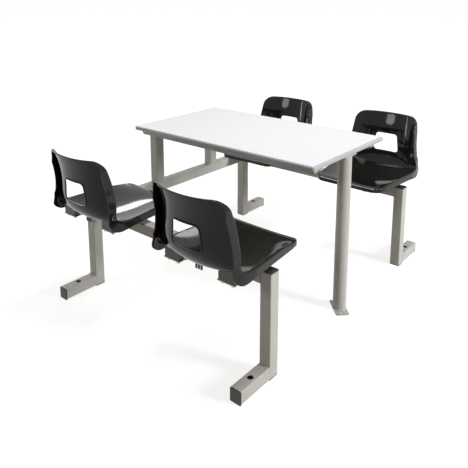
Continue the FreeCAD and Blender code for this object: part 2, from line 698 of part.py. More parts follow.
def back_outline(inset):
    """The seat's outline from the front, less a margin, as a prism along v."""
    half_top = size("back_top_half") - inset
    half = size("back_half_width") - inset
    wide = size("pan_rear_half") - inset
    top = size("back_top") - inset
    hip = size("pan_low")
    points = [Vector(half_top, BEHIND, top), Vector(half, BEHIND, 600),
              Vector(half + 8, BEHIND, 540), Vector(wide, BEHIND, hip + 12),
              Vector(wide, BEHIND, UNDER)]
    mirrored = [Vector(-p.x, p.y, p.z) for p in reversed(points)]
    corner = size("back_corner") - inset
    last = len(points) + len(mirrored) - 1
    return rounded_prism(points + mirrored, Vector(0, AHEAD - BEHIND, 0), {0: corner, last: corner})


def pan_outline(inset):
    """The seat's outline from above, less a margin, as a prism along z."""
    rear = size("pan_rear_half") - inset
    front = size("pan_front_half") - inset
    edge = size("pan_front_v") - inset
    middle = 0.55 * rear + 0.45 * front
    points = [Vector(rear, BEHIND, UNDER), Vector(rear, -130, UNDER), Vector(middle, 40, UNDER),
              Vector(front, edge, UNDER)]
    mirrored = [Vector(-p.x, p.y, p.z) for p in reversed(points)]
    corner = size("pan_corner") - inset
    return rounded_prism(points + mirrored, Vector(0, 0, OVER - UNDER), {3: corner, 4: corner})


def rim_limit():
    """All that is in front of and above the edge of the seat's turned-back rim."""
    half = size("pan_rear_half") + 20
    rim = size("rim_depth_back")
    waist = size("back_waist_v") - rim
    lean = size("back_lean") - rim
    rear_low = size("rim_low_rear")
    front_low = size("rim_low_front")
    points = [(lean - 14, size("back_top") + 50), (lean, size("back_top")),
              (waist - 8, size("back_waist_z") + 90), (waist, size("back_waist_z")),
              (waist + 2, size("back_waist_z") - 50), (waist + 14, size("pan_low") + 40),
              (waist + 36, size("pan_low") + 8), (waist + 58, rear_low), (-60, front_low),
              (AHEAD, front_low), (AHEAD, OVER), (lean - 14, OVER)]
    corners = [Vector(-half, v, z) for v, z in points]
    return Part.Face(Part.makePolygon(corners + corners[:1])).extrude(Vector(2 * half, 0, 0))


def hand_hole():
    """A wedge-sided hole through the back."""
    top = size("grip_top")
    low = size("grip_low")
    points = [Vector(half, BEHIND, z)
              for half, z in ((size("grip_top_half"), top), (size("grip_low_half"), low),
                              (-size("grip_low_half"), low), (-size("grip_top_half"), top))]
    corner = size("grip_corner")
    return rounded_prism(points, Vector(0, AHEAD - BEHIND, 0), {n: corner for n in range(4)})


def shell_shape():
    """The moulded seat: one wall that follows the sitter's side, with a turned-back rim."""
    outside = seat_side(0).common(back_outline(0)).common(pan_outline(0)).common(rim_limit())
    outside = outside.cut(seat_side(0, 1))
    wall = size("shell_wall")
    inside = seat_side(wall).common(back_outline(wall)).common(pan_outline(wall))
    return outside.cut(inside).cut(hand_hole()).Solids[0]


def block_shapes():
    """The moulded blocks and ribs between the carrier and the underside of the pan."""
    carrier_top = size("beam_top") + size("bush_flange_height") + size("carrier_thickness")
    below_pan = seat_side(size("shell_wall"))
    blocks = []
    bolts = []
    for sign in (-1, 1):
        rear_u = sign * size("foot_pad_u")
        front_u = sign * size("front_block_u")
        half_pitch = size("rear_bolt_pitch") / 2
        blocks.append((rear_u, size("foot_pad_v"), size("rear_block_width"),
                       size("rear_block_depth"), carrier_top))
        blocks.append((front_u, size("front_block_v"), size("front_block_side"),
                       size("front_block_side"), carrier_top))
        bolts += [(rear_u - half_pitch, size("foot_pad_v")), (rear_u + half_pitch, size("foot_pad_v")),
                  (front_u, size("front_block_v"))]
    ribs = [(step * size("rib_pitch"), size("foot_pad_v") - 4, size("rib_width"),
             size("rib_width"), size("rib_low")) for step in (-1, 0, 1)]
    shapes = []
    for u, v, wide, deep, low in blocks + ribs:
        column = Part.makeBox(wide, deep, OVER - low, Vector(u - wide / 2, v - deep / 2, low))
        shapes.append(column.common(below_pan))
    holes = [Part.makeCylinder(size("seat_bolt") / 2, size("seat_bolt_bite"),
                               Vector(u, v, carrier_top)) for u, v in bolts]
    return Part.makeCompound([shape.cut(Part.makeCompound(holes)).Solids[0] for shape in shapes])


def make_seat_mouldings():
    """The four seats and their fixing blocks: worked out once, placed four times."""
    mouldings = {"seat_shell": shell_shape(), "seat_blocks": block_shapes()}
    for name, shape in mouldings.items():
        for number, (x, y, turn) in SEATS.items():
            moulding = doc.addObject("Part::Feature", name)
            moulding.Shape = shape
            keep(place(moulding, x, y, "0", turn), "%s_%d" % (name, number))


make_table_top()
make_edge_band()
make_rails()
make_posts()
make_cross_beam()
make_seat_beams()
make_legs_and_feet()
make_round_leg()
make_table_screws()
for seat_number in SEATS:
    make_swivel(seat_number)
    make_carrier(seat_number)
    make_seat_bolts(seat_number)
make_stop_pins()
make_seat_mouldings()
doc.recompute()

for thing in doc.Objects:
    if "Invalid" in thing.State or "Error" in thing.State:
        raise RuntimeError("%s failed: %s" % (thing.Name, thing.State))
for part in sub_parts:
    if part.Shape.isNull() or not part.Shape.isValid():
        raise RuntimeError("%s has no valid shape" % part.Label)

os.makedirs("parts", exist_ok=True)
for part in sub_parts:
    part.Shape.exportStep("parts/%s.step" % part.Label)
    box = part.Shape.BoundBox
    print("%-24s solids %2d  volume %9.0f  x %7.1f %7.1f  y %7.1f %7.1f  z %6.1f %6.1f" % (
        part.Label, len(part.Shape.Solids), part.Shape.Volume,
        box.XMin, box.XMax, box.YMin, box.YMax, box.ZMin, box.ZMax))
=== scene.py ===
# %% [markdown]
# # A canteen table with four swivel seats
# The real object is one welded steel frame. Square tubes carry a small laminated table top, and
# two seat beams carry four moulded plastic seats, each of which turns a little on its own spindle.
# The frame below was drawn in CAD first. This lesson loads it, leaves the steel parts where they
# are, and makes itself what CAD draws too plainly: the seats, the caps, the bolts and the welds.

# %% Tools
import json
import math

import bmesh
import bpy
import numpy as np
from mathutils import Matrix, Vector
from mathutils.geometry import delaunay_2d_cdt


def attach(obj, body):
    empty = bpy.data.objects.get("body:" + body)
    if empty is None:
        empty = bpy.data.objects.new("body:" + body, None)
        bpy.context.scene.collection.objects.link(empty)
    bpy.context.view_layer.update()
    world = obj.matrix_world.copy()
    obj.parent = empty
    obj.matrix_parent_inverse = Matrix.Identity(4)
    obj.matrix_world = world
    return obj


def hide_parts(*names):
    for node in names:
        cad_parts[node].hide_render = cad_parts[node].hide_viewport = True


bpy.ops.wm.read_factory_settings(use_empty=True)
scene = bpy.context.scene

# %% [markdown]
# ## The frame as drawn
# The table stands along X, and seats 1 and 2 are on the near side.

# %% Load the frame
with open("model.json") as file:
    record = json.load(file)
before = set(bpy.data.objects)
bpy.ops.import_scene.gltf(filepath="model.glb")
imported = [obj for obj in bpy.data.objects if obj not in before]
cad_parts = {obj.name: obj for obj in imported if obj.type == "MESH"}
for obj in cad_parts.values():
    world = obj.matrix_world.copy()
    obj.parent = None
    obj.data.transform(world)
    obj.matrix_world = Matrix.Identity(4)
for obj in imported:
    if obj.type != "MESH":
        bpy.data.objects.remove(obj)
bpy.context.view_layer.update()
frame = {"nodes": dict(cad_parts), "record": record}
nodes = frame["nodes"]

# %% [markdown]
# ## The camera
# The camera stands off the near right corner at chest height and looks down by 11 degrees. Part of
# the downward view comes from shifting the picture inside the lens instead of tilting further, so
# the legs lean together only a little.

# %% Camera
eye = bpy.data.cameras.new("eye")
eye.lens = 42.49
eye.sensor_width = 36.0
eye.shift_y = -0.2863
TILT_DOWN = 11.0
TURN_LEFT = 40.0
camera = bpy.data.objects.new("camera", eye)
camera.location = (1.6112, -2.0643, 1.4116)
camera.rotation_euler = (math.radians(90 - TILT_DOWN), 0.0, math.radians(TURN_LEFT))
scene.collection.objects.link(camera)
scene.camera = camera
scene.view_settings.view_transform = "Standard"
print("camera at", tuple(round(c, 3) for c in camera.location))

# %% [markdown]
# ## Floor and backdrop
# A white studio floor runs on without a visible end and takes the soft shadows of the feet. To
# the eye and to shiny surfaces it is lit paper that grows whiter far out, where it melts into the
# surround. As a lamp it is a dull sheet, so that it throws little light up under the table.

# %% Floor
def bright_rays(web):
    """1 for rays of the eye and for those off shiny or through clear surfaces, else 0."""
    rays = web.nodes.new("ShaderNodeLightPath")
    total = rays.outputs["Is Camera Ray"]
    for kind in ("Is Glossy Ray", "Is Transmission Ray"):
        either = web.nodes.new("ShaderNodeMath")
        either.operation = "MAXIMUM"
        web.links.new(total, either.inputs[0])
        web.links.new(rays.outputs[kind], either.inputs[1])
        total = either.outputs[0]
    return total


floor_mesh = bpy.data.meshes.new("floor")
floor_edge = 30.0
floor_mesh.from_pydata(
    [(-floor_edge, -floor_edge, 0), (floor_edge, -floor_edge, 0),
     (floor_edge, floor_edge, 0), (-floor_edge, floor_edge, 0)], [], [(0, 1, 2, 3)])
floor = bpy.data.objects.new("floor", floor_mesh)
scene.collection.objects.link(floor)

floor_finish = bpy.data.materials.new("studio_floor")
floor_finish.use_nodes = True
web = floor_finish.node_tree
web.nodes.clear()
dull = web.nodes.new("ShaderNodeBsdfDiffuse")
dull.inputs["Color"].default_value = (0.30, 0.285, 0.255, 1)
paper = web.nodes.new("ShaderNodeBsdfDiffuse")
paper.inputs["Color"].default_value = (0.50, 0.50, 0.50, 1)
spot = web.nodes.new("ShaderNodeTexCoord")
distance = web.nodes.new("ShaderNodeVectorMath")
distance.operation = "LENGTH"
fade = web.nodes.new("ShaderNodeMapRange")
fade.inputs["From Min"].default_value = 1.2
fade.inputs["From Max"].default_value = 4.0
fade.inputs["To Min"].default_value = 0.78
fade.inputs["To Max"].default_value = 0.97
glow = web.nodes.new("ShaderNodeEmission")
blend = web.nodes.new("ShaderNodeAddShader")
choose = web.nodes.new("ShaderNodeMixShader")
output = web.nodes.new("ShaderNodeOutputMaterial")
web.links.new(spot.outputs["Object"], distance.inputs[0])
web.links.new(distance.outputs["Value"], fade.inputs["Value"])
web.links.new(fade.outputs["Result"], glow.inputs["Strength"])
web.links.new(paper.outputs[0], blend.inputs[0])
web.links.new(glow.outputs[0], blend.inputs[1])
web.links.new(bright_rays(web), choose.inputs[0])
web.links.new(dull.outputs[0], choose.inputs[1])
web.links.new(blend.outputs[0], choose.inputs[2])
web.links.new(choose.outputs[0], output.inputs["Surface"])
floor_mesh.materials.append(floor_finish)
print("floor", 2 * floor_edge, "m wide")

# %% Surround
world = bpy.data.worlds.new("surround")
scene.world = world
world.use_nodes = True
web = world.node_tree
web.nodes.clear()
white = web.nodes.new("ShaderNodeBackground")
white.inputs["Color"].default_value = (1, 1, 1, 1)
white.inputs["Strength"].default_value = 1.0
soft = web.nodes.new("ShaderNodeBackground")
soft.inputs["Color"].default_value = (1.0, 0.87, 0.70, 1)
soft.inputs["Strength"].default_value = 0.165
choose = web.nodes.new("ShaderNodeMixShader")
output = web.nodes.new("ShaderNodeOutputWorld")
web.links.new(bright_rays(web), choose.inputs[0])
web.links.new(soft.outputs[0], choose.inputs[1])
web.links.new(white.outputs[0], choose.inputs[2])
web.links.new(choose.outputs[0], output.inputs["Surface"])
print("surround set")

# %% [markdown]
# ## Lamps
# All lamps are oval and cool. The key lamp on the right makes the sides of the legs that face it
# pale and leaves the near sides in warm half shade, which shows the square section of the tubes.
# A second one hangs overhead. Four small, weak lamps stand round the table. They add hardly any
# light, but the glossy seats mirror them as crisp bright marks.

# %% Lamps
COOL = (0.94, 0.975, 1.0)


def lamp(name, place, target, wide, tall, power):
    """A cool oval lamp that faces a point."""
    light = bpy.data.lights.new(name, "AREA")
    light.shape = "ELLIPSE"
    light.size = wide
    light.size_y = tall
    light.energy = power
    light.color = COOL
    holder = bpy.data.objects.new(name, light)
    holder.location = place
    holder.rotation_euler = (Vector(target) - Vector(place)).to_track_quat("-Z", "Y").to_euler()
    scene.collection.objects.link(holder)


lamp("key", (5.2, 1.0, 2.0), (0, 0, 0.45), 1.4, 1.6, 225)
lamp("overhead", (0.5, 0.1, 3.4), (0, 0, 0.5), 1.4, 0.7, 46)
lamp("left_strip", (-3.4, -0.7, 0.9), (0, -0.7, 0.6), 0.25, 1.3, 9)
lamp("near_box", (-2.0, -3.6, 2.3), (0.2, 0.7, 0.6), 1.3, 0.8, 24)
lamp("far_box", (-2.65, 1.15, 1.4), (0.2, -0.5, 0.5), 0.5, 0.36, 4)
lamp("high_box", (-1.15, 1.5, 2.95), (0.2, -0.5, 0.5), 0.6, 0.5, 7)

# %% [markdown]
# ## Finishes
# A finish is a small web of nodes. Colour, roughness and a fine bump each follow a noise pattern
# that is fixed to the piece, so nothing swims when the view changes. A value that is the same
# all over, such as how metallic a finish is, is typed straight into the shader.

# %% A web to start from
def new_finish(name):
    """A material with one shader, and the nodes that most finishes need."""
    material = bpy.data.materials.new(name)
    material.use_nodes = True
    web = material.node_tree
    web.nodes.clear()
    output = web.nodes.new("ShaderNodeOutputMaterial")
    shader = web.nodes.new("ShaderNodeBsdfPrincipled")
    place = web.nodes.new("ShaderNodeTexCoord")
    web.links.new(shader.outputs["BSDF"], output.inputs["Surface"])
    return material, web, shader, place.outputs["Object"]


def noise(web, place, scale, detail=2.0, rough=0.5):
    """A cloudy pattern; scale is in cells per metre."""
    node = web.nodes.new("ShaderNodeTexNoise")
    node.inputs["Scale"].default_value = scale
    node.inputs["Detail"].default_value = detail
    node.inputs["Roughness"].default_value = rough
    web.links.new(place, node.inputs["Vector"])
    return node.outputs["Fac"]


def ramp(web, source, stops):
    """Turns a pattern into colours: stops are (place, (r, g, b))."""
    node = web.nodes.new("ShaderNodeValToRGB")
    ends = node.color_ramp.elements
    while len(ends) < len(stops):
        ends.new(0.5)
    for stop, (where, colour) in zip(ends, stops):
        stop.position = where
        stop.color = (*colour, 1)
    web.links.new(source, node.inputs["Fac"])
    return node.outputs["Color"]


def spread(web, source, low, high):
    """Turns a pattern from 0 to 1 into numbers from low to high."""
    node = web.nodes.new("ShaderNodeMapRange")
    node.inputs["To Min"].default_value = low
    node.inputs["To Max"].default_value = high
    web.links.new(source, node.inputs["Value"])
    return node.outputs["Result"]


def relief(web, shader, source, strength, depth):
    """A fine bump on the surface; depth is in metres."""
    node = web.nodes.new("ShaderNodeBump")
    node.inputs["Strength"].default_value = strength
    node.inputs["Distance"].default_value = depth
    web.links.new(source, node.inputs["Height"])
    web.links.new(node.outputs["Normal"], shader.inputs["Normal"])


print("finish helpers ready")

# %% [markdown]
# ## Powder coat
# The tubes are powder coated. The powder melts into a satin skin that is slightly bumpy, like
# orange peel, and never quite the same thickness, so the warm grey wanders by a few percent.

# %% Frame paint
def powder_coat(name, pale, deep, gloss):
    """Satin powder coat with an orange-peel skin."""
    material, web, shader, place = new_finish(name)
    clouds = noise(web, place, 9.0, 3.0)
    web.links.new(ramp(web, clouds, [(0.3, deep), (0.7, pale)]), shader.inputs["Base Color"])
    wear = noise(web, place, 60.0, 3.0)
    web.links.new(spread(web, wear, gloss - 0.05, gloss + 0.07), shader.inputs["Roughness"])
    relief(web, shader, noise(web, place, 700.0, 2.0), 0.12, 0.0004)
    return material


frame_paint = powder_coat("frame_paint", (0.575, 0.556, 0.515), (0.530, 0.511, 0.470), 0.42)
carrier_paint = powder_coat("carrier_paint", (0.50, 0.49, 0.46), (0.45, 0.44, 0.41), 0.45)
print("powder coats:", frame_paint.name, carrier_paint.name)

# %% [markdown]
# ## Laminate and edge band
# The top is a white laminate with a fine pearl grain that only shows as a soft break-up of the
# gloss. The band round it is a smooth cool grey plastic, a little shinier.

# %% Laminate
laminate, web, shader, place = new_finish("laminate")
clouds = noise(web, place, 140.0, 4.0, 0.6)
web.links.new(ramp(web, clouds, [(0.35, (0.865, 0.87, 0.875)), (0.65, (0.895, 0.90, 0.905))]),
              shader.inputs["Base Color"])
web.links.new(spread(web, noise(web, place, 420.0, 3.0), 0.42, 0.54), shader.inputs["Roughness"])
shader.inputs["Specular IOR Level"].default_value = 0.12
relief(web, shader, noise(web, place, 1500.0, 2.0), 0.10, 0.0002)

# %% Edge band
edge_band, web, shader, place = new_finish("edge_band")
streaks = noise(web, place, 25.0, 3.0)
web.links.new(ramp(web, streaks, [(0.3, (0.43, 0.445, 0.47)), (0.7, (0.47, 0.485, 0.51))]),
              shader.inputs["Base Color"])
web.links.new(spread(web, noise(web, place, 200.0), 0.26, 0.36), shader.inputs["Roughness"])
relief(web, shader, noise(web, place, 900.0), 0.06, 0.0002)
print("top finishes:", laminate.name, edge_band.name)

# %% [markdown]
# ## Plastics
# The seats are black polypropylene from a polished mould: very dark and glossy, with faint flow
# marks and a haze of handling. The caps and blocks come from a grained mould and look dull.

# %% Seat plastic
seat_plastic, web, shader, place = new_finish("seat_plastic")
flow = noise(web, place, 14.0, 4.0, 0.55)
web.links.new(ramp(web, flow, [(0.3, (0.0080, 0.0078, 0.0068)), (0.7, (0.0125, 0.0120, 0.0100))]),
              shader.inputs["Base Color"])
haze = noise(web, place, 32.0, 5.0, 0.6)
web.links.new(spread(web, haze, 0.05, 0.11), shader.inputs["Roughness"])
shader.inputs["IOR"].default_value = 1.45
shader.inputs["Specular IOR Level"].default_value = 0.25
relief(web, shader, noise(web, place, 120.0, 2.0), 0.05, 0.0006)

# %% Dull plastics
def grained_plastic(name, dark, light, dull):
    """Moulded plastic with a fine leather-like grain."""
    material, web, shader, place = new_finish(name)
    tone = noise(web, place, 40.0, 3.0)
    web.links.new(ramp(web, tone, [(0.3, dark), (0.7, light)]), shader.inputs["Base Color"])
    web.links.new(spread(web, noise(web, place, 300.0), dull - 0.06, dull + 0.08),
                  shader.inputs["Roughness"])
    relief(web, shader, noise(web, place, 1100.0, 2.0), 0.25, 0.0003)
    return material


cap_plastic = grained_plastic("cap_plastic", (0.020, 0.020, 0.018), (0.032, 0.031, 0.028), 0.42)
rail_cap_plastic = grained_plastic("rail_cap_plastic", (0.40, 0.41, 0.40), (0.46, 0.47, 0.46), 0.45)
block_plastic = grained_plastic("block_plastic", (0.010, 0.010, 0.009), (0.018, 0.017, 0.015), 0.30)
bush_nylon = grained_plastic("bush_nylon", (0.74, 0.73, 0.67), (0.82, 0.81, 0.76), 0.40)
print("plastics:", seat_plastic.name, cap_plastic.name, block_plastic.name)

# %% [markdown]
# ## Bare metals
# Bolts, screws and nuts are zinc plated and passivated, which leaves a yellowish cloudy shine.
# The spindles are turned steel: fine rings run round the axis, so the highlight is stretched.

# %% Zinc and turned steel
def bare_metal(name, tint, shade, low, high, scale):
    """Cloudy bare metal whose gloss varies over the surface."""
    material, web, shader, place = new_finish(name)
    shader.inputs["Metallic"].default_value = 1.0
    clouds = noise(web, place, scale, 4.0, 0.6)
    web.links.new(ramp(web, clouds, [(0.35, shade), (0.65, tint)]), shader.inputs["Base Color"])
    web.links.new(spread(web, noise(web, place, 3.0 * scale), low, high),
                  shader.inputs["Roughness"])
    relief(web, shader, noise(web, place, 2000.0), 0.1, 0.0002)
    return material


zinc_steel = bare_metal("zinc_steel", (0.74, 0.69, 0.56), (0.60, 0.55, 0.42), 0.28, 0.46, 250.0)
bright_steel = bare_metal("bright_steel", (0.66, 0.66, 0.68), (0.56, 0.56, 0.58), 0.18, 0.30, 90.0)
print("metals:", zinc_steel.name, bright_steel.name)

# %% [markdown]
# ## The seat's surface
# Each seat is one moulded sheet. Down its middle runs a profile: the back leans, turns through
# the hip into the pan, and rolls over at the front edge. Away from the middle the sheet is
# dished with the square of the distance, and the sides of the back curl further forward with the
# fourth power. Smooth curves through a few profile points, and through the dish and the curl at
# those points, give the whole surface by formula. That keeps every point exact, so the gloss
# runs over it without a ripple.

# %% Profile of a seat
# v is along the seat (the sitter faces +v) and z is height; dish and curl are what the sheet
# comes forward 150 mm off the middle, and rim is how deep the turned-back edge is there
SEAT_PROFILE = [
    (-273.2, 790.0, 30.0, 10.0, 8.0), (-262.0, 750.0, 30.0, 10.0, 8.0),
    (-238.2, 667.5, 30.0, 10.0, 40.0), (-229.0, 585.0, 30.0, 10.0, 40.0),
    (-226.0, 536.5, 26.0, 10.0, 40.0), (-213.0, 498.5, 20.4, 8.0, 40.0),
    (-187.0, 469.7, 14.0, 3.0, 60.0), (-139.0, 457.0, 14.0, 0.0, 60.0),
    (-80.0, 454.0, 14.0, 0.0, 60.0), (50.0, 457.0, 14.0, 0.0, 60.0),
    (122.0, 461.2, 9.6, 0.0, 40.0), (180.0, 465.0, 3.0, 0.0, 40.0),
    (210.0, 462.0, 3.0, 0.0, 40.0), (230.0, 452.0, 3.0, 0.0, 40.0),
    (270.0, 412.0, 3.0, 0.0, 40.0)]
DISH_REACH = 150.0


def smooth_curve(knots, values):
    """A natural cubic spline through rows of values; returns a function of the knot."""
    k = np.array(knots, float)
    y = np.array(values, float)
    step = np.diff(k)
    count = len(k)
    matrix = np.eye(count)
    bends = np.zeros_like(y)
    for i in range(1, count - 1):
        matrix[i, i - 1:i + 2] = (step[i - 1], 2 * (step[i - 1] + step[i]), step[i])
        bends[i] = 6 * ((y[i + 1] - y[i]) / step[i] - (y[i] - y[i - 1]) / step[i - 1])
    curl = np.linalg.solve(matrix, bends)

    def at(t):
        t = np.asarray(t, float)
        i = np.clip(np.searchsorted(k, t) - 1, 0, count - 2)
        w = (t - k[i])[..., None]
        h = step[i][..., None]
        slope = (y[i + 1] - y[i]) / h - h * (2 * curl[i] + curl[i + 1]) / 6
        return y[i] + w * slope + w ** 2 * curl[i] / 2 + w ** 3 * (curl[i + 1] - curl[i]) / (6 * h)
    return at


middle = np.array([row[:2] for row in SEAT_PROFILE])
around = np.vstack([middle[:1], middle, middle[-1:]])
run = around[2:] - around[:-2]
run /= np.linalg.norm(run, axis=1)[:, None]
forward = np.stack([-run[:, 1], run[:, 0]], axis=1)
dishing = np.array([row[2] for row in SEAT_PROFILE])[:, None] * forward
curling = np.array([row[3] for row in SEAT_PROFILE])[:, None] * forward
arc = np.concatenate([[0], np.cumsum(np.linalg.norm(np.diff(middle, axis=0), axis=1))])
seat_curve = smooth_curve(arc, np.hstack([middle, dishing, curling]))


def seat_point(u, t):
    """The sitter's side at u across and t down the profile, as rows of (u, v, z) in mm."""
    u = np.asarray(u, float)
    row = seat_curve(t)
    share = ((u / DISH_REACH) ** 2)[..., None]
    vz = row[..., :2] + share * row[..., 2:4] + share ** 2 * row[..., 4:]
    return np.concatenate([u[..., None], vz], axis=-1)


def seat_normal(u, t):
    """The direction out of the sitter's side."""
    across = seat_point(u + 0.5, t) - seat_point(u - 0.5, t)
    down = seat_point(u, t + 0.5) - seat_point(u, t - 0.5)
    out = np.cross(across, down)
    return out / np.linalg.norm(out, axis=-1)[..., None]


print("profile runs", round(float(arc[-1])), "mm; normal at the pan",
      np.round(seat_normal(np.array([0.0]), np.array([450.0])), 2))

# %% [markdown]
# ## The seat's outline
# Seen from the front the back is nearly straight sided with round upper corners; seen from above
# the pan narrows to round front corners. The outline is laid out in those two views and then
# carried onto the sheet, by finding how far down the profile the sheet reaches each height.

# %% Outline of a seat
EDGE_ROUND = 5.0
BACK_CORNER = 46.0
FRONT_CORNER = 56.0
BACK_WIDTHS = [(466.0, 213.7), (540.0, 194.7), (600.0, 186.7), (750.0, 173.7)]
PAN_WIDTHS = [(-130.0, 213.7), (-45.0, 206.9), (40.0, 199.2), (135.0, 190.2), (235.0, 180.6)]
SEAT_TOP = 749.7
SEAT_FRONT = 229.7
# how far down the profile the back and the front edge are looked for
BACK_RUN = (20, 250)
FRONT_RUN = (330, arc[-1] - 5)
# what the flat sheet gives up to the bent edge, in parts of its round
SIDE_PULL = 1.3
TOP_PULL = 0.86
CORNER_PULL = 1.1
FRONT_PULL = 0.8


def level_reached(u, goal, axis, near, far):
    """How far down the profile the sheet at u reaches a height (axis 2) or a place along v (1)."""
    low = np.full(np.shape(u), near, float)
    high = np.full(np.shape(u), far, float)
    rising = seat_point(u, high)[..., axis] > seat_point(u, low)[..., axis]
    for _ in range(40):
        half = (low + high) / 2
        beyond = (seat_point(u, half)[..., axis] > goal) == rising
        high = np.where(beyond, half, high)
        low = np.where(beyond, low, half)
    return (low + high) / 2


def half_width(v, z):
    """Half the seat's width at a place in the side view."""
    back = np.interp(z, *zip(*BACK_WIDTHS))
    pan = np.interp(v, *zip(*PAN_WIDTHS))
    return np.minimum(back, pan)


def half_outline(inset):
    """The right half of the outline, top middle to front middle.

    A row is (u, t, the way out, how far the outline reaches that way);
    where the reach is None it is half the width.
    """
    points = []
    hub_z = SEAT_TOP - BACK_CORNER
    hub_u = float(np.interp(hub_z, *zip(*BACK_WIDTHS))) - BACK_CORNER
    for u in np.linspace(0, hub_u, 16)[:-1]:
        t = float(level_reached(u, SEAT_TOP - TOP_PULL * inset, 2, *BACK_RUN))
        points.append((u, t, (0.0, 0.0, 1.0), SEAT_TOP))
    for turn in np.linspace(90, 0, 16):
        c, s = math.cos(math.radians(turn)), math.sin(math.radians(turn))
        reach = BACK_CORNER - inset * (SIDE_PULL * c + TOP_PULL * s)
        u = hub_u + reach * c
        t = float(level_reached(u, hub_z + reach * s, 2, *BACK_RUN))
        points.append((u, t, (c, 0.0, s), hub_u * c + hub_z * s + BACK_CORNER))
    corner_u = half_width(190, 460) - FRONT_CORNER
    corner_v = SEAT_FRONT - FRONT_CORNER
    start = points[-1][1]
    stop = float(level_reached(corner_u + FRONT_CORNER, corner_v, 1, *FRONT_RUN))
    for t in np.linspace(start, stop, 74)[1:-1]:
        u = 200.0
        for _ in range(6):
            place = seat_point(u, t)
            u = half_width(place[1], place[2]) - SIDE_PULL * inset
        points.append((float(u), float(t), (1.0, 0.0, 0.0), None))
    for turn in np.linspace(0, 90, 15):
        c, s = math.cos(math.radians(turn)), math.sin(math.radians(turn))
        pull = inset * (CORNER_PULL * c + FRONT_PULL * s)
        u = corner_u + (FRONT_CORNER - pull) * c
        v = corner_v + (FRONT_CORNER - pull) * s
        t = float(level_reached(u, v, 1, *FRONT_RUN))
        points.append((u, t, (c, s, 0.0), corner_u * c + corner_v * s + FRONT_CORNER))
    for u in np.linspace(corner_u, 0, 16)[1:]:
        t = float(level_reached(u, SEAT_FRONT - FRONT_PULL * inset, 1, *FRONT_RUN))
        points.append((u, t, (0.0, 1.0, 0.0), SEAT_FRONT))
    return points


half_edge = half_outline(EDGE_ROUND)
mirror_edge = [(-u, t, (-way[0], way[1], way[2]), goal) for u, t, way, goal in half_edge]
seat_edge = half_edge + mirror_edge[-2:0:-1]
print("outline points:", len(seat_edge))

# %% [markdown]
# ## The hand hole
# A wedge-shaped hole with round corners goes through the back. Its edge is rolled backwards, so
# that fingers find no sharp lip.

# %% Hand hole outline
def round_corners(corners, radius, steps):
    """A closed polygon whose corners are replaced by arcs: rows of (point, way out of the arc)."""
    rows = []
    count = len(corners)
    for i in range(count):
        here = np.array(corners[i], float)
        back = np.array(corners[i - 1], float) - here
        ahead = np.array(corners[(i + 1) % count], float) - here
        back /= np.linalg.norm(back)
        ahead /= np.linalg.norm(ahead)
        half = math.acos(np.clip(np.dot(back, ahead), -1, 1)) / 2
        hub = here + (back + ahead) / np.linalg.norm(back + ahead) * radius / math.sin(half)
        first = here + back * radius / math.tan(half) - hub
        last = here + ahead * radius / math.tan(half) - hub
        for k in range(steps + 1):
            spin = (1 - k / steps) * first + k / steps * last
            spin /= np.linalg.norm(spin)
            rows.append((hub + radius * spin, spin))
    return rows


def fill_runs(rows, spacing):
    """Adds points on the straight runs between arcs."""
    result = []
    for (here, way), (there, way_there) in zip(rows, rows[1:] + rows[:1]):
        result.append((here, way))
        gap = np.linalg.norm(there - here)
        extra = int(gap // spacing)
        for k in range(1, extra + 1):
            share = k / (extra + 1)
            turn = (1 - share) * way + share * way_there
            result.append(((1 - share) * here + share * there, turn / np.linalg.norm(turn)))
    return result


HOLE_CORNERS = [(60.0, 634.0), (73.0, 536.0), (-73.0, 536.0), (-60.0, 634.0)]
HOLE_CORNER = 16.0
HOLE_ROUND = 4.0
GRID = 7.0
seat_hole = []
for (u, z), way in fill_runs(round_corners(HOLE_CORNERS, HOLE_CORNER, 6), GRID):
    wide_u = u + HOLE_ROUND * way[0]
    wide_z = z + HOLE_ROUND * way[1]
    t = float(level_reached(wide_u, wide_z, 2, 60, 300))
    seat_hole.append((wide_u, t, (-way[0], 0.0, -way[1])))
print("hand hole points:", len(seat_hole))

# %% [markdown]
# ## From outline to sheet
# The area between the outline and the hole is filled with small triangles on an even grid. Then
# each edge is bent over: a short arc turns the sheet away from the sitter, and a band goes on
# back to the rim, deep at the sides and shallow along the top and the front. This bent rim is
# what makes a thin plastic seat stiff.

# %% Fill the outline
EDGE_GAP = 0.62 * GRID
COLUMNS = 32


def inside(point, ring):
    """True if a point lies within a closed ring of points."""
    x, y = point
    found = False
    for (x0, y0), (x1, y1) in zip(ring, ring[1:] + ring[:1]):
        if (y0 > y) != (y1 > y) and x < (x1 - x0) * (y - y0) / (y1 - y0) + x0:
            found = not found
    return found


def clear_of(point, ring, margin):
    """True if a point is further than a margin from every point of a ring."""
    return all(math.hypot(point[0] - x, point[1] - y) > margin for x, y in ring)


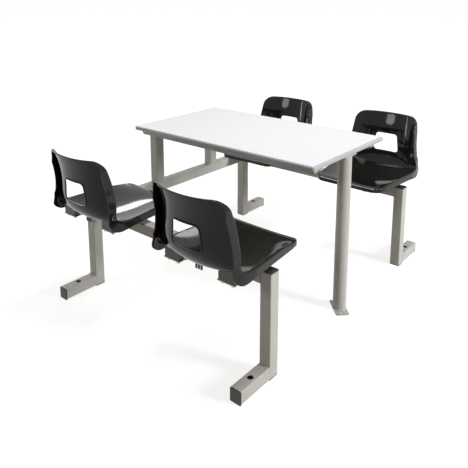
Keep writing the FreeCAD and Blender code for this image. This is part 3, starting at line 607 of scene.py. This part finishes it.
outer_ring = [row[:2] for row in seat_edge]
hole_ring = [(u, t) for u, t, way in seat_hole]
lattice = []
for row in range(int(arc[-1] / GRID) + 1):
    for column in range(-COLUMNS, COLUMNS + 1):
        spot = (column * GRID, row * GRID)
        if not inside(spot, outer_ring) or inside(spot, hole_ring):
            continue
        if clear_of(spot, outer_ring, EDGE_GAP) and clear_of(spot, hole_ring, EDGE_GAP):
            lattice.append(spot)
flat = [Vector(p) for p in outer_ring + hole_ring + lattice]
outer_count = len(outer_ring)
hole_count = len(hole_ring)
rings = [(i, (i + 1) % outer_count) for i in range(outer_count)]
rings += [(outer_count + i, outer_count + (i + 1) % hole_count) for i in range(hole_count)]
spots, _, triangles, origins, _, _ = delaunay_2d_cdt(flat, rings, [], 0, 1e-6)
kept_triangles = []
for triangle in triangles:
    centre = sum((spots[i] for i in triangle), Vector((0, 0))) / 3
    if inside(centre, outer_ring) and not inside(centre, hole_ring):
        kept_triangles.append([origins[i][0] for i in triangle])
print("grid points:", len(lattice), "triangles:", len(kept_triangles))

# %% [markdown]
# The bent edge is made row by row. Each outline point knows which way is out. The sheet's own
# normal is turned step by step into that direction, which draws the arc, and from its end the
# band runs to the rim line. The rim line is one smooth curve in the side view.

# %% Bend the edges over
RIM_LINE = [(-282.8, 800.0), (-268.8, 750.0), (-244.0, 675.0), (-236.0, 585.0), (-233.5, 535.0),
            (-222.5, 494.0), (-202.0, 462.0), (-172.0, 442.0), (-110.0, 443.5), (-30.0, 447.0),
            (60.0, 447.0), (160.0, 447.0), (260.0, 447.0)]
rim_corners = np.array(RIM_LINE)
rim_arc = np.concatenate([[0], np.cumsum(np.linalg.norm(np.diff(rim_corners, axis=0), axis=1))])
rim_curve = smooth_curve(rim_arc, rim_corners)
rim_samples = np.linspace(0, rim_arc[-1], 900)
rim_v, rim_z = rim_curve(rim_samples).T
low_index = int(np.argmin(rim_z))
BACK_ENDS = 505.0
PAN_STARTS = -135.0
SHORTEST_BAND = 1.5


def rim_target(edge_point, hip_share):
    """Where the band from an edge point ends; hip_share is None away from the hip."""
    u, v, z = edge_point
    if hip_share is None and z > BACK_ENDS:
        return (u, float(np.interp(z, rim_z[:low_index][::-1], rim_v[:low_index][::-1])), z)
    if hip_share is None:
        return (u, v, float(np.interp(v, rim_v[low_index:], rim_z[low_index:])))
    start = np.interp(BACK_ENDS, rim_z[:low_index][::-1], rim_samples[:low_index][::-1])
    stop = np.interp(PAN_STARTS, rim_v[low_index:], rim_samples[low_index:])
    there = rim_curve(np.array(start + hip_share * (stop - start)))
    return (u, float(there[0]), float(there[1]))


def turned(start, end, share):
    """A direction part of the way from one to another."""
    angle = math.acos(float(np.clip(np.dot(start, end), -1, 1)))
    if angle < 1e-6:
        return np.array(start)
    return (math.sin((1 - share) * angle) * start + math.sin(share * angle) * end) / math.sin(angle)


ARC_STEPS = 4
BAND_STEPS = 5
HOLE_STEPS = 3
HOLE_BAND = 3.0
seat_vertices = [tuple(p) for p in seat_point(
    np.array([p[0] for p in flat]), np.array([p[1] for p in flat]))]
seat_faces = [tuple(t) for t in kept_triangles]

arc_rows = []
for u, t, way, goal in seat_edge:
    here = seat_point(np.array(u), np.array(t))
    out = seat_normal(np.array(u), np.array(t))
    way = np.array(way)
    hub = here - EDGE_ROUND * out
    reach = half_width(hub[1], hub[2]) if goal is None else goal
    miss = reach - float(np.dot(way, hub + EDGE_ROUND * way))
    arc_rows.append([hub + EDGE_ROUND * turned(out, way, k / ARC_STEPS) + miss * k / ARC_STEPS * way
                     for k in range(1, ARC_STEPS + 1)])
ends = [row[-1] for row in arc_rows]
profile_t = [row[1] for row in seat_edge]
rim_depth = np.interp(profile_t, arc, [row[4] for row in SEAT_PROFILE])
last_back = max(t for t, e in zip(profile_t, ends) if e[2] > BACK_ENDS and t < 300)
first_pan = min(t for t, e in zip(profile_t, ends) if e[1] > PAN_STARTS and t > 200)
edge_rows = []
for along, depth, row in zip(profile_t, rim_depth, arc_rows):
    share = (along - last_back) / (first_pan - last_back)
    end = row[-1]
    band = np.array(rim_target(end, share if 0 < share < 1 else None)) - end
    length = float(np.linalg.norm(band))
    band *= min(1.0, max(depth - EDGE_ROUND, SHORTEST_BAND) / length)
    edge_rows.append(row + [end + band * k / BAND_STEPS for k in range(1, BAND_STEPS + 1)])


def add_skirt(first, rows):
    """Sews rows of points to a ring of vertices that starts at index first."""
    count = len(rows)
    ring = [first + i for i in range(count)]
    for step in range(len(rows[0])):
        start = len(seat_vertices)
        seat_vertices.extend(tuple(row[step]) for row in rows)
        new_ring = [start + i for i in range(count)]
        for i in range(count):
            j = (i + 1) % count
            seat_faces.append((ring[i], ring[j], new_ring[j], new_ring[i]))
        ring = new_ring


add_skirt(0, edge_rows)
hole_rows = []
for u, t, way in seat_hole:
    here = seat_point(np.array(u), np.array(t))
    out = seat_normal(np.array(u), np.array(t))
    hub = here - HOLE_ROUND * out
    row = [hub + HOLE_ROUND * turned(out, np.array(way), k / HOLE_STEPS)
           for k in range(1, HOLE_STEPS + 1)]
    row.append(row[-1] + np.array((0.0, -HOLE_BAND, 0.0)))
    hole_rows.append(row)
add_skirt(outer_count, hole_rows)
print("sheet:", len(seat_vertices), "points", len(seat_faces), "faces; rim depth at the hip",
      round(float(np.linalg.norm(edge_rows[60][-1] - edge_rows[60][ARC_STEPS - 1]))), "mm")

# %% [markdown]
# ## Four seats from one sheet
# The sheet gets its wall with the Solidify modifier, and Bevel takes the sharpness off the rim,
# as a mould does. The same sheet is placed four times, turned about on the far side, each riding
# on its own swivelling body.

# %% Make the seats
SEAT_X = 0.330
BEAM_Y = 0.569
SWIVELS = {1: (-SEAT_X, -BEAM_Y, 1), 2: (SEAT_X, -BEAM_Y, 1), 3: (-SEAT_X, BEAM_Y, -1),
           4: (SEAT_X, BEAM_Y, -1)}
SEAT_WALL = 0.0045


def seat_place(number, point):
    """A point of a seat, in mm in its own frame, put in its place in metres."""
    x, y, way = SWIVELS[number]
    return (x + way * point[0] / 1000, y + way * point[1] / 1000, point[2] / 1000)


def plain_piece(name, vertices, faces, material):
    """A smooth object whose mesh already stands in its place."""
    mesh = bpy.data.meshes.new(name)
    mesh.from_pydata(vertices, [], faces)
    mesh.materials.append(material)
    mesh.polygons.foreach_set("use_smooth", [True] * len(mesh.polygons))
    mesh.update()
    piece = bpy.data.objects.new(name, mesh)
    scene.collection.objects.link(piece)
    return piece


def face_outwards(mesh, sample, direction):
    """Makes all faces point the same way, and out along direction at a sample face."""
    work = bmesh.new()
    work.from_mesh(mesh)
    bmesh.ops.recalc_face_normals(work, faces=work.faces)
    work.faces.ensure_lookup_table()
    if work.faces[sample].normal.dot(Vector(direction)) < 0:
        bmesh.ops.reverse_faces(work, faces=work.faces)
    work.to_mesh(mesh)
    work.free()


pan_face = min(range(len(kept_triangles)), key=lambda i: abs(
    seat_vertices[seat_faces[i][0]][0]) + abs(seat_vertices[seat_faces[i][0]][1]))
seats = {}
for number in SWIVELS:
    seat = plain_piece("moulded_seat_%d" % number,
                       [seat_place(number, p) for p in seat_vertices], seat_faces, seat_plastic)
    face_outwards(seat.data, pan_face, (0, 0, 1))
    wall = seat.modifiers.new("wall", "SOLIDIFY")
    wall.thickness = SEAT_WALL
    wall.offset = -1
    wall.use_even_offset = False
    soft = seat.modifiers.new("soft_rim", "BEVEL")
    soft.width = 0.0012
    soft.segments = 2
    soft.limit_method = "ANGLE"
    soft.angle_limit = math.radians(55)
    soft.harden_normals = True
    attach(seat, "seat_%d" % number)
    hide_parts("seat_shell_%d" % number)
    seats[number] = seat
print("seats:", [s.name for s in seats.values()])

# %% [markdown]
# ## Plastic caps
# Every open tube end is plugged. A cap is a plug that grips inside the tube, and a flange with
# softened edges that covers the wall. It is drawn as a stack of rounded squares, one above the
# other, which is quick to read and to change.

# %% Caps from stacked outlines
def rounded_outline(half_a, half_b, radius, steps=5):
    """Points round a rectangle with round corners, in a plane."""
    points = []
    for sign_a, sign_b, start in ((1, 1, 0), (-1, 1, 90), (-1, -1, 180), (1, -1, 270)):
        for k in range(steps + 1):
            angle = math.radians(start + 90 * k / steps)
            points.append((sign_a * (half_a - radius) + radius * math.cos(angle),
                           sign_b * (half_b - radius) + radius * math.sin(angle)))
    return points


def stacked(levels):
    """Vertices and faces of a closed solid through levels of equal point counts."""
    vertices = [p for level in levels for p in level]
    count = len(levels[0])
    faces = [tuple(reversed(range(count)))]
    for row in range(len(levels) - 1):
        for i in range(count):
            j = (i + 1) % count
            faces.append((row * count + i, row * count + j,
                          (row + 1) * count + j, (row + 1) * count + i))
    faces.append(tuple((len(levels) - 1) * count + i for i in range(count)))
    return vertices, faces


def gather(solids):
    """Several solids as one list of vertices and faces."""
    vertices, faces = [], []
    for some_vertices, some_faces in solids:
        start = len(vertices)
        vertices += some_vertices
        faces += [tuple(start + i for i in face) for face in some_faces]
    return vertices, faces


def finish_cap_piece(name, solids, node):
    """Makes one piece of several caps, in place of the plain ones."""
    vertices, faces = gather(solids)
    piece = plain_piece(name, vertices, faces, cap_plastic)
    work = bmesh.new()
    work.from_mesh(piece.data)
    bmesh.ops.recalc_face_normals(work, faces=work.faces)
    work.to_mesh(piece.data)
    work.free()
    piece.data.set_sharp_from_angle(angle=math.radians(35))
    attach(piece, "frame")
    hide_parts(node)
    return piece


# height in the cap, half side, corner radius, all in mm; the plug's tip comes first
CAP_LEVELS = [(20, 21.6, 2), (19, 22.3, 2.4), (5, 22.3, 2.4), (5, 25, 4), (1.6, 25, 4),
              (0.6, 24.6, 3.8), (0.1, 23.8, 3.4), (0, 22.6, 3)]
LEG_X = 0.525
LEG_TOP = 0.429
FOOT_END = 0.764
FOOT_MIDDLE = 0.029
# a foot's flange hangs lower than its tube, to reach the floor
FLANGE_DROP = 0.002
LEG_PLACES = [(x, y) for y in (-BEAM_Y, BEAM_Y) for x in (-LEG_X, LEG_X)]


def cap_solid(x, y, turn_over, base):
    """A cap at a leg; turned over, its flange is on top."""
    levels = []
    for high, half, radius in CAP_LEVELS:
        z = base - high / 1000 if turn_over else base + high / 1000
        levels.append([(x + a / 1000, y + b / 1000, z)
                       for a, b in rounded_outline(half, half, radius)])
    return stacked(levels)


top_caps = finish_cap_piece(
    "leg_top_covers", [cap_solid(x, y, True, LEG_TOP) for x, y in LEG_PLACES], "leg_top_caps")
base_caps = finish_cap_piece(
    "leg_glides", [cap_solid(x, y, False, 0.0) for x, y in LEG_PLACES], "leg_base_caps")


def foot_cap_solid(x, side):
    """The cap at the end of a foot, whose flange reaches down to the floor."""
    levels = []
    for high, half, radius in CAP_LEVELS:
        y = side * (FOOT_END - high / 1000)
        on_flange = high <= 5 and half > 22.4
        tall = half + 1000 * FLANGE_DROP if on_flange else half
        middle = FOOT_MIDDLE - FLANGE_DROP if on_flange else FOOT_MIDDLE
        levels.append([(x + a / 1000, y, middle + b / 1000)
                       for a, b in rounded_outline(half, tall, radius)])
    return stacked(levels)


foot_caps = finish_cap_piece(
    "foot_covers", [foot_cap_solid(x, math.copysign(1, y)) for x, y in LEG_PLACES],
    "foot_end_caps")
print("caps:", top_caps.name, base_caps.name, foot_caps.name)

# %% [markdown]
# ## Bolts and screws
# Every fastening hangs head down: six flanged bolts hold each seat to its carrier, and ten
# screws hold the top. Geometry Nodes put one fastening at each point of a small cloud, so the
# pattern is a list of places and the shape is a set of named sizes.

# %% A tree for fastenings
def new_tree(name, sizes):
    """A Geometry Nodes tree with a geometry input, named sizes and a geometry output."""
    tree = bpy.data.node_groups.new(name, "GeometryNodeTree")
    face = tree.interface
    face.new_socket("Places", in_out="INPUT", socket_type="NodeSocketGeometry")
    for label, value in sizes.items():
        socket = face.new_socket(label, in_out="INPUT", socket_type="NodeSocketFloat")
        socket.default_value = value
    face.new_socket("Finish", in_out="INPUT", socket_type="NodeSocketMaterial")
    face.new_socket("Geometry", in_out="OUTPUT", socket_type="NodeSocketGeometry")
    return tree, tree.nodes.new("NodeGroupInput"), tree.nodes.new("NodeGroupOutput")


def upright(tree, given, sides, radius, height, low):
    """A prism between two heights: low and height are names of inputs, below the point."""
    bar = tree.nodes.new("GeometryNodeMeshCylinder")
    bar.inputs["Vertices"].default_value = sides
    tree.links.new(given.outputs[radius], bar.inputs["Radius"])
    tree.links.new(given.outputs[height], bar.inputs["Depth"])
    half = tree.nodes.new("ShaderNodeMath")
    half.operation = "MULTIPLY_ADD"
    half.inputs[1].default_value = -0.5
    tree.links.new(given.outputs[height], half.inputs[0])
    tree.links.new(given.outputs[low], half.inputs[2])
    spot = tree.nodes.new("ShaderNodeCombineXYZ")
    tree.links.new(half.outputs[0], spot.inputs["Z"])
    move = tree.nodes.new("GeometryNodeTransform")
    tree.links.new(bar.outputs["Mesh"], move.inputs["Geometry"])
    tree.links.new(spot.outputs[0], move.inputs["Translation"])
    return move.outputs["Geometry"]


def fastening_tree(name, sizes, sides):
    """Head, flange and shank at every point; heights are measured from the point upwards."""
    tree, given, result = new_tree(name, sizes)
    join = tree.nodes.new("GeometryNodeJoinGeometry")
    for prism_sides, part in ((sides, "Head"), (24, "Flange"), (16, "Shank")):
        shape = upright(tree, given, prism_sides, part + " radius", part + " height",
                        part + " top")
        tree.links.new(shape, join.inputs[0])
    dot = tree.nodes.new("GeometryNodeInstanceOnPoints")
    real = tree.nodes.new("GeometryNodeRealizeInstances")
    coat = tree.nodes.new("GeometryNodeSetMaterial")
    tree.links.new(given.outputs["Places"], dot.inputs["Points"])
    tree.links.new(join.outputs[0], dot.inputs["Instance"])
    tree.links.new(dot.outputs[0], real.inputs[0])
    tree.links.new(real.outputs[0], coat.inputs[0])
    tree.links.new(given.outputs["Finish"], coat.inputs["Material"])
    tree.links.new(coat.outputs[0], result.inputs[0])
    return tree


def grown(name, tree, points, edges, values, material, round_off=0.0):
    """Runs a tree on a cloud of points and returns the result as a plain mesh object."""
    mesh = bpy.data.meshes.new(name + "_places")
    mesh.from_pydata(points, edges, [])
    seed = bpy.data.objects.new(name + "_places", mesh)
    scene.collection.objects.link(seed)
    growth = seed.modifiers.new("growth", "NODES")
    growth.node_group = tree
    sockets = {item.name: item.identifier for item in tree.interface.items_tree
               if item.item_type == "SOCKET" and item.in_out == "INPUT"}
    for label, value in values.items():
        growth[sockets[label]] = value
    growth[sockets["Finish"]] = material
    bpy.context.view_layer.update()
    ready = seed.evaluated_get(bpy.context.evaluated_depsgraph_get())
    result = bpy.data.meshes.new_from_object(ready)
    result.name = name
    bpy.data.objects.remove(seed)
    work = bmesh.new()
    work.from_mesh(result)
    bmesh.ops.recalc_face_normals(work, faces=work.faces)
    if round_off:
        sharp = [e for e in work.edges if len(e.link_faces) == 2
                 and e.calc_face_angle() > math.radians(50)]
        bmesh.ops.bevel(work, geom=sharp, offset=round_off, segments=1, affect="EDGES")
    for face in work.faces:
        face.smooth = True
    work.to_mesh(result)
    work.free()
    result.set_sharp_from_angle(angle=math.radians(32))
    if not result.materials:
        result.materials.append(material)
    piece = bpy.data.objects.new(name, result)
    scene.collection.objects.link(piece)
    return piece


BOLT = {"Head radius": 0.0082, "Head height": 0.0070, "Head top": -0.0020,
        "Flange radius": 0.0090, "Flange height": 0.0022, "Flange top": 0.0,
        "Shank radius": 0.0040, "Shank height": 0.0170, "Shank top": 0.0170}
bolt_tree = fastening_tree("flanged_bolts", BOLT, 6)
BOLT_SPOTS = [(-159, -161), (-111, -161), (111, -161), (159, -161), (-28, 75), (28, 75)]
CARRIER_UNDER = 426.0
for number in SWIVELS:
    spots = [seat_place(number, (u, v, CARRIER_UNDER)) for u, v in BOLT_SPOTS]
    bolts = grown("seat_bolts_made_%d" % number, bolt_tree, spots, [], BOLT, zinc_steel, 0.0005)
    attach(bolts, "seat_%d" % number)
    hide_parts("seat_bolts_%d" % number)
print("bolts per seat:", len(BOLT_SPOTS), "faces:", len(bolts.data.polygons))

# %% Screws of the table top
SCREW = {"Head radius": 0.0050, "Head height": 0.0024, "Head top": 0.0,
         "Flange radius": 0.0042, "Flange height": 0.0006, "Flange top": -0.0024,
         "Shank radius": 0.0025, "Shank height": 0.0180, "Shank top": 0.0180}
screw_tree = fastening_tree("pan_head_screws", SCREW, 24)
RAIL_SCREWS = [(x, y, 0.700) for y in (-0.244, 0.244) for x in (-0.432, 0.008, 0.448)]
HEAD_SCREWS = [(0.471 + a * 0.048, b * 0.037, 0.725) for a in (-1, 1) for b in (-1, 1)]
screws = grown("top_screws", screw_tree, RAIL_SCREWS + HEAD_SCREWS, [], SCREW, zinc_steel, 0.0004)
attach(screws, "frame")
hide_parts("table_screws")
print("screws:", len(RAIL_SCREWS) + len(HEAD_SCREWS))

# %% [markdown]
# ## Welds
# The tubes meet end to face and are welded all round where a torch can reach. A weld is a row of
# small overlapping scales. Geometry Nodes lay one low scale every few millimetres along each
# seam; the powder coat covers them with the rest of the frame.

# %% Weld beads
def weld_tree():
    """Scales along the edges of the input, evenly spaced."""
    tree, given, result = new_tree("weld_beads", {"Scale spacing": 0.0024, "Scale radius": 0.0024})
    line = tree.nodes.new("GeometryNodeMeshToCurve")
    even = tree.nodes.new("GeometryNodeResampleCurve")
    even.mode = "LENGTH"
    drop = tree.nodes.new("GeometryNodeMeshUVSphere")
    drop.inputs["Segments"].default_value = 8
    drop.inputs["Rings"].default_value = 5
    dot = tree.nodes.new("GeometryNodeInstanceOnPoints")
    vary = tree.nodes.new("FunctionNodeRandomValue")
    vary.inputs["Seed"].default_value = 7
    vary.inputs[2].default_value = 0.88
    vary.inputs[3].default_value = 1.08
    real = tree.nodes.new("GeometryNodeRealizeInstances")
    coat = tree.nodes.new("GeometryNodeSetMaterial")
    tree.links.new(given.outputs["Places"], line.inputs[0])
    tree.links.new(line.outputs[0], even.inputs["Curve"])
    tree.links.new(given.outputs["Scale spacing"], even.inputs["Length"])
    tree.links.new(given.outputs["Scale radius"], drop.inputs["Radius"])
    tree.links.new(even.outputs[0], dot.inputs["Points"])
    tree.links.new(drop.outputs["Mesh"], dot.inputs["Instance"])
    tree.links.new(vary.outputs[1], dot.inputs["Scale"])
    tree.links.new(dot.outputs[0], real.inputs[0])
    tree.links.new(real.outputs[0], coat.inputs[0])
    tree.links.new(given.outputs["Finish"], coat.inputs["Material"])
    tree.links.new(coat.outputs[0], result.inputs[0])
    return tree


def ring_seam(x, y, z, radius, count=48):
    """Points of a round seam."""
    return [(x + radius * math.cos(2 * math.pi * k / count),
             y + radius * math.sin(2 * math.pi * k / count), z) for k in range(count + 1)]


TUBE_HALF = 0.025
SEAM_HALF = 0.021
BEAM_UNDER = 0.374
FOOT_TOP = 0.054
POST_X = -0.470
POST_SIDES = (POST_X - TUBE_HALF, POST_X + TUBE_HALF)
seams = []
for side in (-1, 1):
    for x in (-LEG_X, LEG_X):
        inner = x - math.copysign(TUBE_HALF, x)
        foot_joint = side * (BEAM_Y + TUBE_HALF)
        seams.append([(inner, side * (BEAM_Y - SEAM_HALF), BEAM_UNDER),
                      (inner, side * (BEAM_Y + SEAM_HALF), BEAM_UNDER)])
        seams.append([(x - SEAM_HALF, foot_joint, FOOT_TOP), (x + SEAM_HALF, foot_joint, FOOT_TOP)])
    beam_face = side * (BEAM_Y - TUBE_HALF)
    for x in POST_SIDES:
        seams.append([(x, beam_face, 0.422), (x, beam_face, 0.398)])
    seams.append([(POST_X - SEAM_HALF, beam_face, 0.394), (POST_X + SEAM_HALF, beam_face, 0.394)])
    for edge in (0.179, 0.229):
        seams.append([(POST_X - SEAM_HALF, side * edge, 0.444),
                      (POST_X + SEAM_HALF, side * edge, 0.444)])
    for x in POST_SIDES:
        seams.append([(x, side * 0.229, 0.704), (x, side * 0.229, 0.727)])
for height in (0.005, 0.725):
    seams.append(ring_seam(0.505, 0, height, 0.030))
seam_points, seam_edges = [], []
for seam in seams:
    start = len(seam_points)
    seam_points += seam
    seam_edges += [(start + i, start + i + 1) for i in range(len(seam) - 1)]
welds = grown("weld_beads", weld_tree(), seam_points, seam_edges, {}, frame_paint)
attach(welds, "frame")
print("seams:", len(seams), "weld faces:", len(welds.data.polygons))

# %% [markdown]
# ## Finishes on the drawn parts
# The parts that came from CAD keep their shape and only change their finish.

# %% Dress the drawn parts
FINISH_OF = {"laminate": laminate, "edge_band": edge_band, "frame_paint": frame_paint,
             "carrier_paint": carrier_paint, "cap_plastic": cap_plastic,
             "rail_cap_plastic": rail_cap_plastic, "seat_plastic": seat_plastic,
             "block_plastic": block_plastic, "zinc_steel": zinc_steel,
             "bright_steel": bright_steel, "bush_nylon": bush_nylon}
slot_of = {part["node"]: part["material_slot"] for part in frame["record"]["subparts"]}
for name, node in nodes.items():
    for slot in node.material_slots:
        slot.material = FINISH_OF[slot_of[name]]
print("dressed:", len(nodes), "parts")

# %% Finish
bpy.context.view_layer.update()
